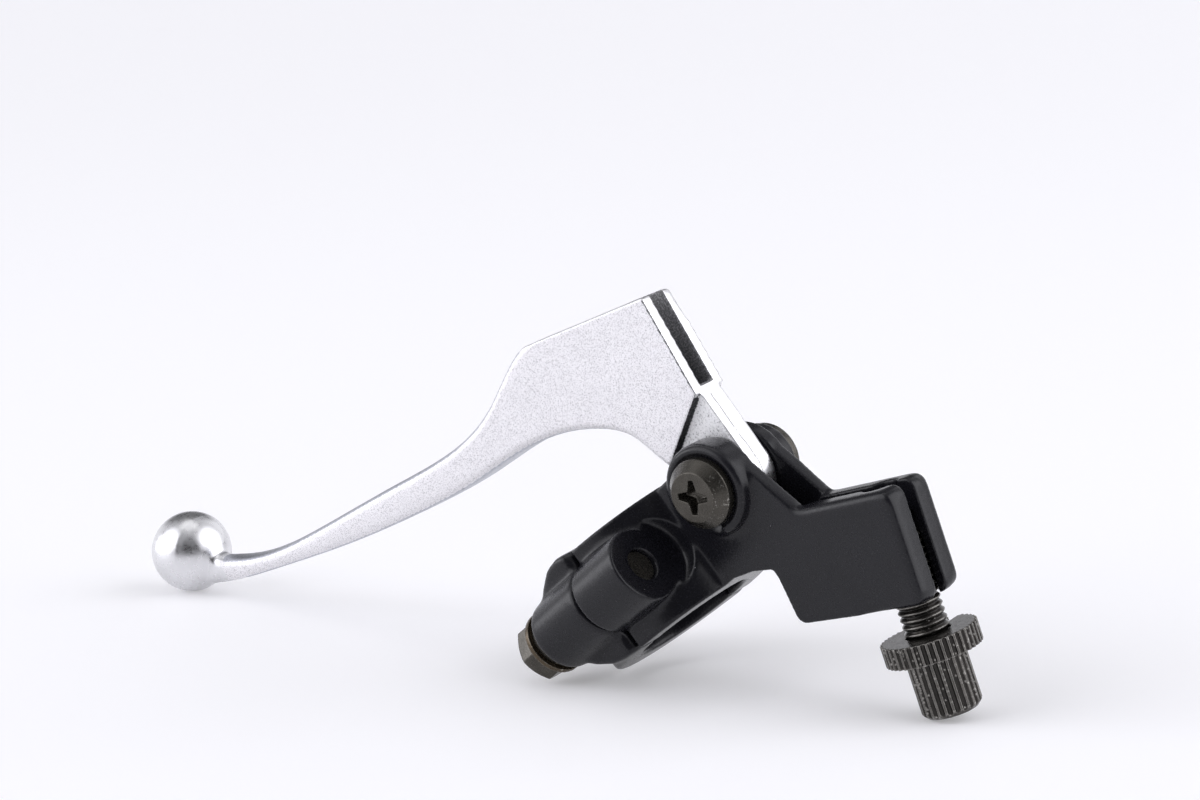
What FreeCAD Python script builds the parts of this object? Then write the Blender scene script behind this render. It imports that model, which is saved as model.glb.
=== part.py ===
"""Left-hand motorcycle clutch lever with its handlebar perch, clamp cap and cable adjuster.

Frame: the origin is the centre of the handlebar bore. +X runs along the bar towards the adjuster,
+Y points forward from the bar to the lever pivot, and +Z is the pivot axis, up. Millimetres.
The lever is drawn swung in against its inner stop, which is joint value zero.
"""
import math
import os

import FreeCAD
import Part
import Sketcher
from FreeCAD import Placement, Rotation, Vector

SIZES = {
    # handlebar clamp
    "bar_radius": 11.1,
    "clamp_width": 21.0,
    "clamp_offset": 0.5,
    "clamp_radius": 16.8,
    "split_half_gap": 0.25,
    "bolt_spread": 16.4,
    "perch_boss_radius": 7.0,
    "cap_boss_radius": 6.8,
    "perch_boss_top": 12.4,
    "cap_boss_end": 13.9,
    "spot_face_radius": 7.2,
    "spot_face_low": 13.5,
    "gusset_half": 17.9,
    # perch arms, ears and adjuster block
    "pivot_x": -3.5,
    "pivot_y": 26.5,
    "arm_half": 6.2,
    "arm_gap": 6.4,
    "ear_radius": 8.4,
    "upper_boss_top": 8.8,
    "upper_boss_fillet": 1.2,
    "upper_seat": 8.3,
    "upper_seat_radius": 6.9,
    "lower_boss_radius": 6.8,
    "lower_seat": 10.2,
    "pivot_hole_radius": 4.06,
    "cable_slot": 3.0,
    "cable_angle": -23.0,
    "thread_hole_radius": 4.05,
    "hole_entry": 5.0,
    "thread_hole_depth": 21.5,
    "cable_hole_depth": 45.0,
    "cable_hole_radius": 3.0,
    "corner_round": 2.0,
    # lever
    "blade_thickness": 8.5,
    "hub_thickness": 5.8,
    "hub_radius": 7.6,
    "lever_hole_radius": 4.07,
    "lever_slot": 3.5,
    "nipple_radius": 4.1,
    "nipple_x": -28.2,
    "nipple_y": 2.0,
    "nipple_top": 2.4,
    "ball_radius": 8.2,
    "ball_x": -62.4,
    "ball_y": -128.3,
    "arm_round": 1.6,
    # pivot screw and its sleeve nut
    "head_radius": 6.3,
    "head_rim": 1.6,
    "head_top_radius": 4.5,
    "head_height": 3.7,
    "recess_tip_half": 0.5,
    "recess_root_half": 1.0,
    "recess_reach": 3.1,
    "recess_depth": 2.0,
    "sleeve_radius": 4.0,
    "screw_radius": 3.0,
    "screw_length": 10.0,
    "sleeve_top": 8.1,
    "sleeve_bore_radius": 3.05,
    "sleeve_bore_depth": 12.0,
    # clamp bolts and washers
    "bolt_radius": 3.0,
    "bolt_length": 28.0,
    "bolt_hole_radius": 3.05,
    "bolt_head_flats": 10.0,
    "bolt_head_height": 4.0,
    "bolt_chamfer_radius": 4.7,
    "bolt_chamfer_slope": 0.7,
    "lock_washer_radius": 5.3,
    "lock_washer_thickness": 1.6,
    "lock_washer_gap": 0.8,
    "flat_washer_radius": 6.1,
    "flat_washer_thickness": 1.0,
    "washer_bore_radius": 3.1,
    # cable adjuster and its lock ring
    "cable_x": 34.4,
    "cable_y": 43.1,
    "stem_radius": 3.98,
    "stem_start": -13.0,
    "thread_pitch": 1.25,
    "thread_depth": 0.55,
    "barrel_start": 8.3,
    "barrel_end": 18.8,
    "barrel_radius": 5.35,
    "barrel_flute_depth": 0.45,
    "barrel_flutes": 24,
    "barrel_flute_start": 9.8,
    "barrel_round": 0.9,
    "ring_start": 4.5,
    "ring_end": 8.3,
    "ring_radius": 8.6,
    "ring_ridge_depth": 0.45,
    "ring_ridges": 42,
    "ring_bore_radius": 4.05,
    "housing_radius": 2.6,
    "housing_depth": 11.0,
    "wire_radius": 1.3,
    "wire_slot": 2.0,
}

# Outline of the arms and the adjuster block, seen along the pivot axis.
BLOCK_INNER_REAR = (24.5, 24.4)
BLOCK_INNER_FRONT = (35.3, 48.9)
BLOCK_OUTER_FRONT = (16.3, 56.9)
BLOCK_OUTER_REAR = (8.9, 38.4)
BLOCK_HEEL = (16.0, 26.5)
ARM_FRONT_START = (-6.0, 34.0)
ARM_HOLLOW = [(14.2, 26.6), (12.2, 22.6), (11.0, 18.0)]
NECK_INNER = (11.0, 8.0)
NECK_OUTER = (-9.6, 8.0)
NECK_OUTER_TOP = (-9.9, 21.2)
# Webs that widen the cap's bosses into its ring, seen along the same axis.
GUSSET = [(-5.8, -13.0), (5.8, -13.0), (8.4, -10.0), (10.2, -6.6), (10.9, -3.4), (10.9, -1.0),
          (-10.4, -1.0), (-10.9, -3.4), (-10.4, -6.6), (-8.4, -10.0)]
# The space between the two arms, and the rear edge of the block's wire slot, behind the cable line.
GAP_FLOOR = 17.9
GAP_OUTER = -14.0
SLOT_REAR = -1.5
# Where the wire slot also opens the block's outer face, as far as the space between the arms.
SLOT_MOUTH = [(5.0, 34.5), (13.0, 35.0), (19.5, 51.5), (11.0, 56.0)]

# Outline of the lever, from its pivot.
FACE_INNER = (-14.4, 7.8)
FACE_OUTER = (-33.3, 10.6)
BLADE_TIP = (-42.3, -19.0)
HEEL = (-8.2, -7.4)
STEP_WALL_END = (-8.0, -6.6)
UPPER_EDGE = [(-42.3, -21.5), (-41.0, -27.0), (-38.9, -34.0), (-37.8, -42.0), (-38.3, -50.5),
              (-41.6, -68.0), (-46.7, -94.0), (-50.9, -109.5), (-57.5, -121.5)]
LOWER_EDGE = [(-55.5, -130.5), (-51.4, -122.0), (-46.5, -108.5), (-40.0, -88.5), (-34.0, -66.0),
              (-30.4, -48.0), (-28.9, -36.0), (-26.3, -25.0), (-21.6, -15.6), (-16.4, -10.3),
              (-12.6, -8.9), HEEL]
# The thin web between the hub and the blade, closed over the hub.
WEB = [(0, "dims.hub_radius"), FACE_INNER, (-15.4, 7.8), (-12.0, -5.0), STEP_WALL_END, (-4.3, -6.2)]
# The slot for the wire, which runs into the nipple's hole.
WIRE_SLOT = [(-15.3, 10.0), (-16.4, 3.4), (-24.0, 3.0), (-48.0, 6.6), (-47.0, 14.0)]
# The blade gets thinner between these distances, down to this half thickness.
TAPER_START = -46.0
TAPER_END = -124.0
TAPER_STOP = -149.0
TAPER_END_HALF = 2.6
# Farther than any face of the piece that is being cut.
REACH = 60.0
# The flat crest of the adjuster's thread, as shares of one pitch.
CREST_START, CREST_END = 0.42, 0.58
# Width of one round flute, as a share of the space that each flute has.
FLUTE_SHARE = 0.62
# How far the cross recesses are turned about the pivot axis, in degrees.
RECESS_TURN = -36
# The recess narrows as it gets deeper, by this angle on each wall.
RECESS_TAPER = -12

doc = FreeCAD.newDocument("clutch_lever")
dims = doc.addObject("Spreadsheet::Sheet", "dims")
for row, (alias, number) in enumerate(SIZES.items(), start=1):
    dims.set(f"A{row}", alias)
    dims.set(f"B{row}", str(number))
    dims.setAlias(f"B{row}", alias)
doc.recompute()


def new_body(label):
    body = doc.addObject("PartDesign::Body", label)
    body.Label = label
    return body


def new_sketch(body, role, name):
    """A sketch on one of the body's own origin planes: XY_Plane, XZ_Plane or YZ_Plane."""
    plane = next(f for f in body.Origin.OriginFeatures if f.Role == role)
    sketch = body.newObject("Sketcher::SketchObject", name)
    sketch.AttachmentSupport = (plane, [""])
    sketch.MapMode = "FlatFace"
    return sketch


def pin(sketch, geometry, point, place):
    """Fixes a point of a sketch. Each coordinate is a number or an expression in the sheet's terms."""
    for axis, amount in zip(("DistanceX", "DistanceY"), place):
        if isinstance(amount, str):
            start = float(sketch.evalExpression(amount))
            index = sketch.addConstraint(Sketcher.Constraint(axis, -1, 1, geometry, point, start))
            sketch.setExpression(f"Constraints[{index}]", amount)
        else:
            sketch.addConstraint(Sketcher.Constraint(axis, -1, 1, geometry, point, amount))


def add_circle(sketch, centre, radius):
    """A circle whose radius is an expression, such as dims.bar_radius."""
    size = float(sketch.evalExpression(radius))
    geometry = sketch.addGeometry(Part.Circle(Vector(0, 0, 0), Vector(0, 0, 1), size), False)
    index = sketch.addConstraint(Sketcher.Constraint("Radius", geometry, size))
    sketch.setExpression(f"Constraints[{index}]", radius)
    pin(sketch, geometry, 3, centre)


def add_polygon(sketch, points):
    """A closed run of straight lines, each corner pinned where it is given."""
    places = []
    for place in points:
        numbers = [float(sketch.evalExpression(a)) if isinstance(a, str) else a for a in place]
        places.append(Vector(numbers[0], numbers[1], 0))
    lines = [sketch.addGeometry(Part.LineSegment(a, b), False)
             for a, b in zip(places, places[1:] + places[:1])]
    for line, following in zip(lines, lines[1:] + lines[:1]):
        sketch.addConstraint(Sketcher.Constraint("Coincident", line, 2, following, 1))
    for line, place in zip(lines, points):
        pin(sketch, line, 1, place)


def add_outline(sketch, runs):
    """A closed outline of straight runs (two points) and smooth curves (more points)."""
    for run in runs:
        points = [Vector(x, y, 0) for x, y in run]
        if len(points) == 2:
            sketch.addGeometry(Part.LineSegment(points[0], points[1]), False)
        else:
            curve = Part.BSplineCurve()
            curve.interpolate(points)
            sketch.addGeometry(curve, False)
    for index in range(len(runs)):
        following = (index + 1) % len(runs)
        sketch.addConstraint(Sketcher.Constraint("Coincident", index, 2, following, 1))


def add_feature(body, kind, sketch, length, midplane=False, reverse=False):
    """A pad or a pocket of a bound length. midplane spreads it to both sides of the sketch."""
    feature = body.newObject(f"PartDesign::{kind}", f"{sketch.Name}_{kind.lower()}")
    feature.Profile = sketch
    feature.SideType = "Symmetric" if midplane else "One side"
    feature.Reversed = reverse
    feature.setExpression("Length", length)
    doc.recompute()
    return feature


def add_revolved(body, name, profile, axis_name, kind="Revolution"):
    """Turns a closed polygon in the XZ or XY plane about the body's own Z or X axis, to add or to cut."""
    role = "XZ_Plane" if axis_name == "Z_Axis" else "XY_Plane"
    sketch = new_sketch(body, role, f"{name}_profile")
    add_polygon(sketch, profile)
    feature = body.newObject(f"PartDesign::{kind}", name)
    feature.Profile = sketch
    feature.ReferenceAxis = (next(f for f in body.Origin.OriginFeatures if f.Role == axis_name), [""])
    feature.Angle = 360
    doc.recompute()
    return feature


def round_edges(body, radius, wanted):
    """Fillets the edges of the body's last solid that the test picks."""
    base = body.Tip
    picked = [f"Edge{i}" for i, edge in enumerate(base.Shape.Edges, start=1) if wanted(edge)]
    fillet = body.newObject("PartDesign::Fillet", f"{body.Name}_round")
    fillet.Base = (base, picked)
    fillet.setExpression("Radius", radius)
    doc.recompute()
    return fillet


def is_upright_at(edge, places, reach=0.3):
    """True for a straight edge along Z whose foot is at one of the places."""
    if len(edge.Vertexes) != 2:
        return False
    low, high = (v.Point for v in edge.Vertexes)
    if math.hypot(low.x - high.x, low.y - high.y) > 1e-4:
        return False
    return any(math.hypot(low.x - x, low.y - y) < reach for x, y in places)


def is_circle(edge, radius, axis):
    """True for an arc of the given radius about the given axis direction."""
    curve = edge.Curve
    if not isinstance(curve, Part.Circle):
        return False
    return abs(curve.Radius - radius) < 1e-3 and abs(abs(curve.Axis.dot(axis)) - 1) < 1e-6


def cable_point(along, forward):
    """A point beside the cable line: along it from the adjuster's datum, and forward of it."""
    angle = math.radians(SIZES["cable_angle"])
    return (SIZES["cable_x"] + along * math.cos(angle) - forward * math.sin(angle),
            SIZES["cable_y"] + along * math.sin(angle) + forward * math.cos(angle))


def make_half_ring(body, keep_forward):
    """The clamp's half ring with its two bolt bosses, cut at the split plane and bored."""
    ring = new_sketch(body, "YZ_Plane", f"{body.Name}_ring")
    ring.setExpression("AttachmentOffset.Base.z", "dims.clamp_offset")
    add_circle(ring, (0, 0), "dims.clamp_radius")
    add_feature(body, "Pad", ring, "dims.clamp_width", midplane=True)
    for name, sign in (("upper", ""), ("lower", "-")):
        boss = new_sketch(body, "XZ_Plane", f"{body.Name}_{name}_boss")
        radius = "dims.perch_boss_radius" if keep_forward else "dims.cap_boss_radius"
        add_circle(boss, (0, f"{sign}dims.bolt_spread"), radius)
        length = "dims.perch_boss_top" if keep_forward else "dims.cap_boss_end"
        add_feature(body, "Pad", boss, length, reverse=keep_forward)
    if not keep_forward:
        gusset = new_sketch(body, "XY_Plane", "gusset")
        add_polygon(gusset, GUSSET)
        add_feature(body, "Pad", gusset, "dims.gusset_half * 2", midplane=True)
    split = new_sketch(body, "YZ_Plane", f"{body.Name}_split")
    far = -REACH if keep_forward else REACH
    edge = "dims.split_half_gap" if keep_forward else "-dims.split_half_gap"
    add_polygon(split, [(edge, -REACH), (far, -REACH), (far, REACH), (edge, REACH)])
    add_feature(body, "Pocket", split, "dims.clamp_width * 2", midplane=True)
    bore = new_sketch(body, "YZ_Plane", f"{body.Name}_bore")
    add_circle(bore, (0, 0), "dims.bar_radius")
    add_feature(body, "Pocket", bore, "dims.clamp_width * 2", midplane=True)


def drill_bolt_holes(body, length, reverse):
    for name, sign in (("upper", ""), ("lower", "-")):
        hole = new_sketch(body, "XZ_Plane", f"{body.Name}_{name}_hole")
        add_circle(hole, (0, f"{sign}dims.bolt_spread"), "dims.bolt_hole_radius")
        add_feature(body, "Pocket", hole, length, reverse=reverse)


def make_perch():
    body = new_body("perch_body")
    make_half_ring(body, keep_forward=True)

    arms = new_sketch(body, "XY_Plane", "arms")
    add_polygon(arms, [NECK_OUTER, NECK_INNER] + ARM_HOLLOW[::-1]
                + [BLOCK_HEEL, BLOCK_INNER_REAR, BLOCK_INNER_FRONT, BLOCK_OUTER_FRONT,
                   BLOCK_OUTER_REAR, ARM_FRONT_START, NECK_OUTER_TOP])
    add_feature(body, "Pad", arms, "dims.arm_half * 2", midplane=True)
    ears = new_sketch(body, "XY_Plane", "ears")
    add_circle(ears, ("dims.pivot_x", "dims.pivot_y"), "dims.ear_radius")
    add_feature(body, "Pad", ears, "dims.arm_half * 2", midplane=True)
    upper_boss = new_sketch(body, "XY_Plane", "upper_boss")
    add_circle(upper_boss, ("dims.pivot_x", "dims.pivot_y"), "dims.ear_radius")
    add_feature(body, "Pad", upper_boss, "dims.upper_boss_top")
    round_edges(body, "dims.upper_boss_fillet",
                lambda e: is_circle(e, SIZES["ear_radius"], Vector(0, 0, 1))
                and abs(e.Curve.Center.z - SIZES["upper_boss_top"]) < 0.01)
    lower_boss = new_sketch(body, "XY_Plane", "lower_boss")
    add_circle(lower_boss, ("dims.pivot_x", "dims.pivot_y"), "dims.lower_boss_radius")
    add_feature(body, "Pad", lower_boss, "dims.lower_seat", reverse=True)

    rebore = new_sketch(body, "YZ_Plane", "rebore")
    add_circle(rebore, (0, 0), "dims.bar_radius")
    add_feature(body, "Pocket", rebore, "dims.clamp_width * 2", midplane=True)

    gap = new_sketch(body, "XY_Plane", "gap")
    add_polygon(gap, [(GAP_OUTER, GAP_FLOOR), (REACH / 3, GAP_FLOOR), BLOCK_HEEL, BLOCK_OUTER_REAR,
                      (BLOCK_OUTER_REAR[0], REACH), (GAP_OUTER, REACH)])
    add_feature(body, "Pocket", gap, "dims.arm_gap", midplane=True)

    slot = new_sketch(body, "XY_Plane", "slot")
    add_polygon(slot, [cable_point(-REACH, SLOT_REAR), cable_point(REACH, SLOT_REAR),
                       cable_point(REACH, REACH), cable_point(-REACH, REACH)])
    add_feature(body, "Pocket", slot, "dims.cable_slot", midplane=True)
    mouth = new_sketch(body, "XY_Plane", "slot_mouth")
    add_polygon(mouth, SLOT_MOUTH)
    add_feature(body, "Pocket", mouth, "dims.cable_slot", midplane=True)

    corners = [BLOCK_INNER_REAR, BLOCK_INNER_FRONT, BLOCK_OUTER_FRONT]
    round_edges(body, "dims.corner_round", lambda e: is_upright_at(e, corners))

    pivot = new_sketch(body, "XY_Plane", "pivot")
    add_circle(pivot, ("dims.pivot_x", "dims.pivot_y"), "dims.pivot_hole_radius")
    add_feature(body, "Pocket", pivot, "dims.lower_seat * 3", midplane=True)
    seat = new_sketch(body, "XY_Plane", "upper_seat")
    seat.setExpression("AttachmentOffset.Base.z", "dims.upper_seat")
    add_circle(seat, ("dims.pivot_x", "dims.pivot_y"), "dims.upper_seat_radius")
    add_feature(body, "Pocket", seat, "dims.upper_seat", reverse=True)

    cut_spot_faces(body)
    drill_bolt_holes(body, "dims.perch_boss_top * 2", reverse=False)
    drill_cable_hole(body)
    return body


def cut_spot_faces(body):
    """The flat end faces of the two bolt bosses, milled down to the arms' faces."""
    for name, sign in (("upper", ""), ("lower", "-")):
        low, high = f"{sign}dims.spot_face_low", f"{sign}dims.bolt_spread * 2"
        side = "dims.spot_face_radius"
        face = new_sketch(body, "XZ_Plane", f"{name}_spot_face")
        face.setExpression("AttachmentOffset.Base.z", "-dims.perch_boss_top")
        add_polygon(face, [(f"-{side}", low), (side, low), (side, high), (f"-{side}", high)])
        add_feature(body, "Pocket", face, "dims.perch_boss_top")
        end = new_sketch(body, "XZ_Plane", f"{name}_spot_end")
        end.setExpression("AttachmentOffset.Base.z", "-dims.perch_boss_top")
        add_circle(end, (0, low), side)
        add_feature(body, "Pocket", end, "dims.perch_boss_top")


def drill_cable_hole(body):
    """The adjuster's threaded hole, at its nominal size, and the narrower cable hole beyond it."""
    start = cable_point(SIZES["hole_entry"], 0)
    direction = Rotation(Vector(0, 0, 1), SIZES["cable_angle"]).multVec(Vector(-1, 0, 0))
    for name, radius, depth in (("thread", "dims.thread_hole_radius", "dims.thread_hole_depth"),
                                ("cable", "dims.cable_hole_radius", "dims.cable_hole_depth")):
        hole = body.newObject("PartDesign::SubtractiveCylinder", f"{name}_hole")
        hole.setExpression("Radius", radius)
        hole.setExpression("Height", depth)
        hole.Placement = Placement(Vector(start[0], start[1], 0),
                                   Rotation(Vector(0, 0, 1), direction))
        body.Tip = hole
        doc.recompute()


def make_cap():
    body = new_body("clamp_cap")
    make_half_ring(body, keep_forward=False)
    drill_bolt_holes(body, "dims.cap_boss_end * 2", reverse=True)
    return body


def make_lever():
    body = new_body("lever_blade")
    body.setExpression("Placement.Base.x", "dims.pivot_x")
    body.setExpression("Placement.Base.y", "dims.pivot_y")

    blade = new_sketch(body, "XY_Plane", "blade")
    add_outline(blade, [(FACE_INNER, FACE_OUTER), (FACE_OUTER, BLADE_TIP),
                        (BLADE_TIP, UPPER_EDGE[0]), UPPER_EDGE,
                        (UPPER_EDGE[-1], LOWER_EDGE[0]), LOWER_EDGE,
                        (HEEL, STEP_WALL_END), (STEP_WALL_END, FACE_INNER)])
    add_feature(body, "Pad", blade, "dims.blade_thickness", midplane=True)

    for name, sign in (("upper", 1), ("lower", -1)):
        taper = new_sketch(body, "YZ_Plane", f"{name}_taper")
        half = SIZES["blade_thickness"] / 2
        add_polygon(taper, [(TAPER_START, sign * half), (TAPER_END, sign * TAPER_END_HALF),
                            (TAPER_STOP, sign * TAPER_END_HALF), (TAPER_STOP, sign * half * 2),
                            (TAPER_START, sign * half * 2)])
        add_feature(body, "Pocket", taper, "dims.blade_thickness * 20", midplane=True)

    round_edges(body, "dims.arm_round", lambda e: isinstance(e.Curve, Part.BSplineCurve))

    hub = new_sketch(body, "XY_Plane", "hub")
    add_circle(hub, (0, 0), "dims.hub_radius")
    add_feature(body, "Pad", hub, "dims.hub_thickness", midplane=True)
    web = new_sketch(body, "XY_Plane", "web")
    add_polygon(web, WEB)
    add_feature(body, "Pad", web, "dims.hub_thickness", midplane=True)

    hole = new_sketch(body, "XY_Plane", "lever_hole")
    add_circle(hole, (0, 0), "dims.lever_hole_radius")
    add_feature(body, "Pocket", hole, "dims.blade_thickness * 2", midplane=True)

    ball = body.newObject("PartDesign::AdditiveSphere", "ball")
    ball.setExpression("Radius", "dims.ball_radius")
    ball.setExpression("Placement.Base.x", "dims.ball_x")
    ball.setExpression("Placement.Base.y", "dims.ball_y")
    doc.recompute()

    slot = new_sketch(body, "XY_Plane", "wire_slot")
    add_polygon(slot, WIRE_SLOT)
    add_feature(body, "Pocket", slot, "dims.lever_slot", midplane=True)
    nipple = body.newObject("PartDesign::SubtractiveCylinder", "nipple_hole")
    nipple.setExpression("Radius", "dims.nipple_radius")
    nipple.setExpression("Height", "dims.blade_thickness")
    nipple.setExpression("Placement.Base.x", "dims.nipple_x")
    nipple.setExpression("Placement.Base.y", "dims.nipple_y")
    nipple.setExpression("Placement.Base.z", "dims.nipple_top - dims.blade_thickness")
    doc.recompute()
    return body


def make_pivot_piece(label, seat, far_side, stem_profile):
    """A coned head with a cross recess, on the stem that the profile gives, turned over if far."""
    body = new_body(label)
    turned = Rotation(Vector(1, 0, 0), 180 if far_side else 0)
    body.Placement = Placement(Vector(0, 0, 0), turned * Rotation(Vector(0, 0, 1), RECESS_TURN))
    body.setExpression("Placement.Base.x", "dims.pivot_x")
    body.setExpression("Placement.Base.y", "dims.pivot_y")
    head = [(0, f"{seat} + dims.head_height"), ("dims.head_top_radius", f"{seat} + dims.head_height"),
            ("dims.head_radius", f"{seat} + dims.head_rim"), ("dims.head_radius", seat)]
    add_revolved(body, f"{label}_turned", head + stem_profile, "Z_Axis")
    tip, root, reach = "dims.recess_tip_half", "dims.recess_root_half", "dims.recess_reach"
    arm = [(reach, f"-{tip}"), (reach, tip), (root, root), (tip, reach), (f"-{tip}", reach)]
    far_arm = [(f"-{root}", root), (f"-{reach}", tip), (f"-{reach}", f"-{tip}")]
    last_arm = [(f"-{root}", f"-{root}"), (f"-{tip}", f"-{reach}"), (tip, f"-{reach}"), (root, f"-{root}")]
    cross = new_sketch(body, "XY_Plane", f"{label}_recess")
    cross.setExpression("AttachmentOffset.Base.z", f"{seat} + dims.head_height")
    add_polygon(cross, arm + far_arm + last_arm)
    recess = add_feature(body, "Pocket", cross, "dims.recess_depth")
    recess.TaperAngle = RECESS_TAPER
    doc.recompute()
    return body


def make_bolt(label, sign):
    """A hexagon bolt that enters its boss from the cap's side, with its shank along +Y."""
    body = new_body(label)
    body.Placement = Placement(Vector(0, 0, 0), Rotation(Vector(1, 0, 0), -90))
    stack = "dims.cap_boss_end + dims.lock_washer_thickness + dims.flat_washer_thickness"
    body.setExpression("Placement.Base.y", f"-({stack})")
    body.setExpression("Placement.Base.z", f"{sign}dims.bolt_spread")
    shank = new_sketch(body, "XY_Plane", f"{label}_shank")
    add_circle(shank, (0, 0), "dims.bolt_radius")
    add_feature(body, "Pad", shank, "dims.bolt_length")
    head = new_sketch(body, "XY_Plane", f"{label}_head")
    across = SIZES["bolt_head_flats"] / math.sqrt(3)
    corners = [math.radians(60 * corner + 30) for corner in range(6)]
    add_polygon(head, [(across * math.cos(angle), across * math.sin(angle)) for angle in corners])
    add_feature(body, "Pad", head, "dims.bolt_head_height", reverse=True)
    chamfer = [("dims.bolt_chamfer_radius", "-dims.bolt_head_height"),
               ("dims.bolt_head_flats", "-dims.bolt_head_height"),
               ("dims.bolt_head_flats", "(dims.bolt_head_flats - dims.bolt_chamfer_radius)"
                " * dims.bolt_chamfer_slope - dims.bolt_head_height")]
    add_revolved(body, f"{label}_chamfer", chamfer, "Z_Axis", "Groove")
    return body


def make_washer(label, sign, start, radius, thickness, split):
    """A washer on a clamp bolt. A lock washer is split, so it has a narrow gap cut through it."""
    body = new_body(label)
    body.Placement = Placement(Vector(0, 0, 0), Rotation(Vector(1, 0, 0), 90))
    body.setExpression("Placement.Base.y", f"-({start})")
    body.setExpression("Placement.Base.z", f"{sign}dims.bolt_spread")
    disc = new_sketch(body, "XY_Plane", f"{label}_disc")
    add_circle(disc, (0, 0), radius)
    add_circle(disc, (0, 0), "dims.washer_bore_radius")
    add_feature(body, "Pad", disc, thickness)
    if split:
        cut = new_sketch(body, "XY_Plane", f"{label}_cut")
        add_polygon(cut, [(0, "-dims.lock_washer_gap / 2"), (REACH, "-dims.lock_washer_gap / 2"),
                          (REACH, "dims.lock_washer_gap / 2"), (0, "dims.lock_washer_gap / 2")])
        add_feature(body, "Pocket", cut, thickness, reverse=True)
    return body


def place_on_cable_line(body):
    body.Placement = Placement(Vector(0, 0, 0), Rotation(Vector(0, 0, 1), SIZES["cable_angle"]))
    body.setExpression("Placement.Base.x", "dims.cable_x")
    body.setExpression("Placement.Base.y", "dims.cable_y")


def cut_flutes(body, count, radius, depth, start, end):
    """Straight knurling: small round-bottomed flutes cut along the piece and repeated around it."""
    groove = body.newObject("PartDesign::SubtractiveCylinder", f"{body.Name}_flute")
    width = math.pi * radius / count * FLUTE_SHARE
    groove.Radius = width
    groove.Height = end - start + 2
    groove.Placement = Placement(Vector(start - 1, 0, radius + width - depth),
                                 Rotation(Vector(0, 1, 0), 90))
    doc.recompute()
    around = body.newObject("PartDesign::PolarPattern", f"{body.Name}_flutes")
    around.Originals = [groove]
    around.Axis = (next(f for f in body.Origin.OriginFeatures if f.Role == "X_Axis"), [""])
    around.Angle = 360
    around.Occurrences = count
    body.Tip = around
    doc.recompute()


def cut_wire_slot(body, start, end):
    """The slot that lets the inner wire in sideways, on the lower side."""
    slot = body.newObject("PartDesign::SubtractiveBox", f"{body.Name}_wire_slot")
    slot.Length = end - start + 2
    slot.setExpression("Width", "dims.wire_slot")
    slot.Height = REACH / 2
    slot.Placement = Placement(Vector(start - 1, -SIZES["wire_slot"] / 2, -REACH / 2), Rotation())
    body.Tip = slot
    doc.recompute()


def make_adjuster():
    body = new_body("cable_adjuster")
    place_on_cable_line(body)
    crest, root = SIZES["stem_radius"], SIZES["stem_radius"] - SIZES["thread_depth"]
    pitch, start = SIZES["thread_pitch"], SIZES["stem_start"]
    threads = int((SIZES["ring_start"] - start) // pitch)
    profile = [(start, 0), (start, root)]
    for turn in range(threads):
        left = start + turn * pitch
        profile += [(left + CREST_START * pitch, crest), (left + CREST_END * pitch, crest),
                    (left + pitch, root)]
    profile += [(SIZES["barrel_start"], root), (SIZES["barrel_start"], SIZES["barrel_radius"])]
    round_over = SIZES["barrel_round"]
    profile += [(SIZES["barrel_end"] - round_over, SIZES["barrel_radius"]),
                (SIZES["barrel_end"], SIZES["barrel_radius"] - round_over), (SIZES["barrel_end"], 0)]
    add_revolved(body, "adjuster_turned", profile, "X_Axis")
    cut_flutes(body, SIZES["barrel_flutes"], SIZES["barrel_radius"], SIZES["barrel_flute_depth"],
               SIZES["barrel_flute_start"], SIZES["barrel_end"])
    for name, radius, depth in (("housing", "dims.housing_radius", "dims.housing_depth"),
                                ("wire", "dims.wire_radius", "dims.barrel_end * 3")):
        bore = body.newObject("PartDesign::SubtractiveCylinder", f"{name}_bore")
        bore.setExpression("Radius", radius)
        bore.setExpression("Height", depth)
        bore.Placement = Placement(Vector(SIZES["barrel_end"], 0, 0), Rotation(Vector(0, 1, 0), -90))
        body.Tip = bore
        doc.recompute()
    cut_wire_slot(body, SIZES["stem_start"], SIZES["barrel_end"])
    return body


def make_lock_ring():
    body = new_body("lock_ring")
    place_on_cable_line(body)
    disc = new_sketch(body, "YZ_Plane", "ring_disc")
    disc.setExpression("AttachmentOffset.Base.z", "dims.ring_start")
    add_circle(disc, (0, 0), "dims.ring_radius")
    add_circle(disc, (0, 0), "dims.ring_bore_radius")
    add_feature(body, "Pad", disc, "dims.ring_end - dims.ring_start")
    cut_flutes(body, SIZES["ring_ridges"], SIZES["ring_radius"], SIZES["ring_ridge_depth"],
               SIZES["ring_start"], SIZES["ring_end"])
    cut_wire_slot(body, SIZES["ring_start"], SIZES["ring_end"])
    return body


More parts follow.
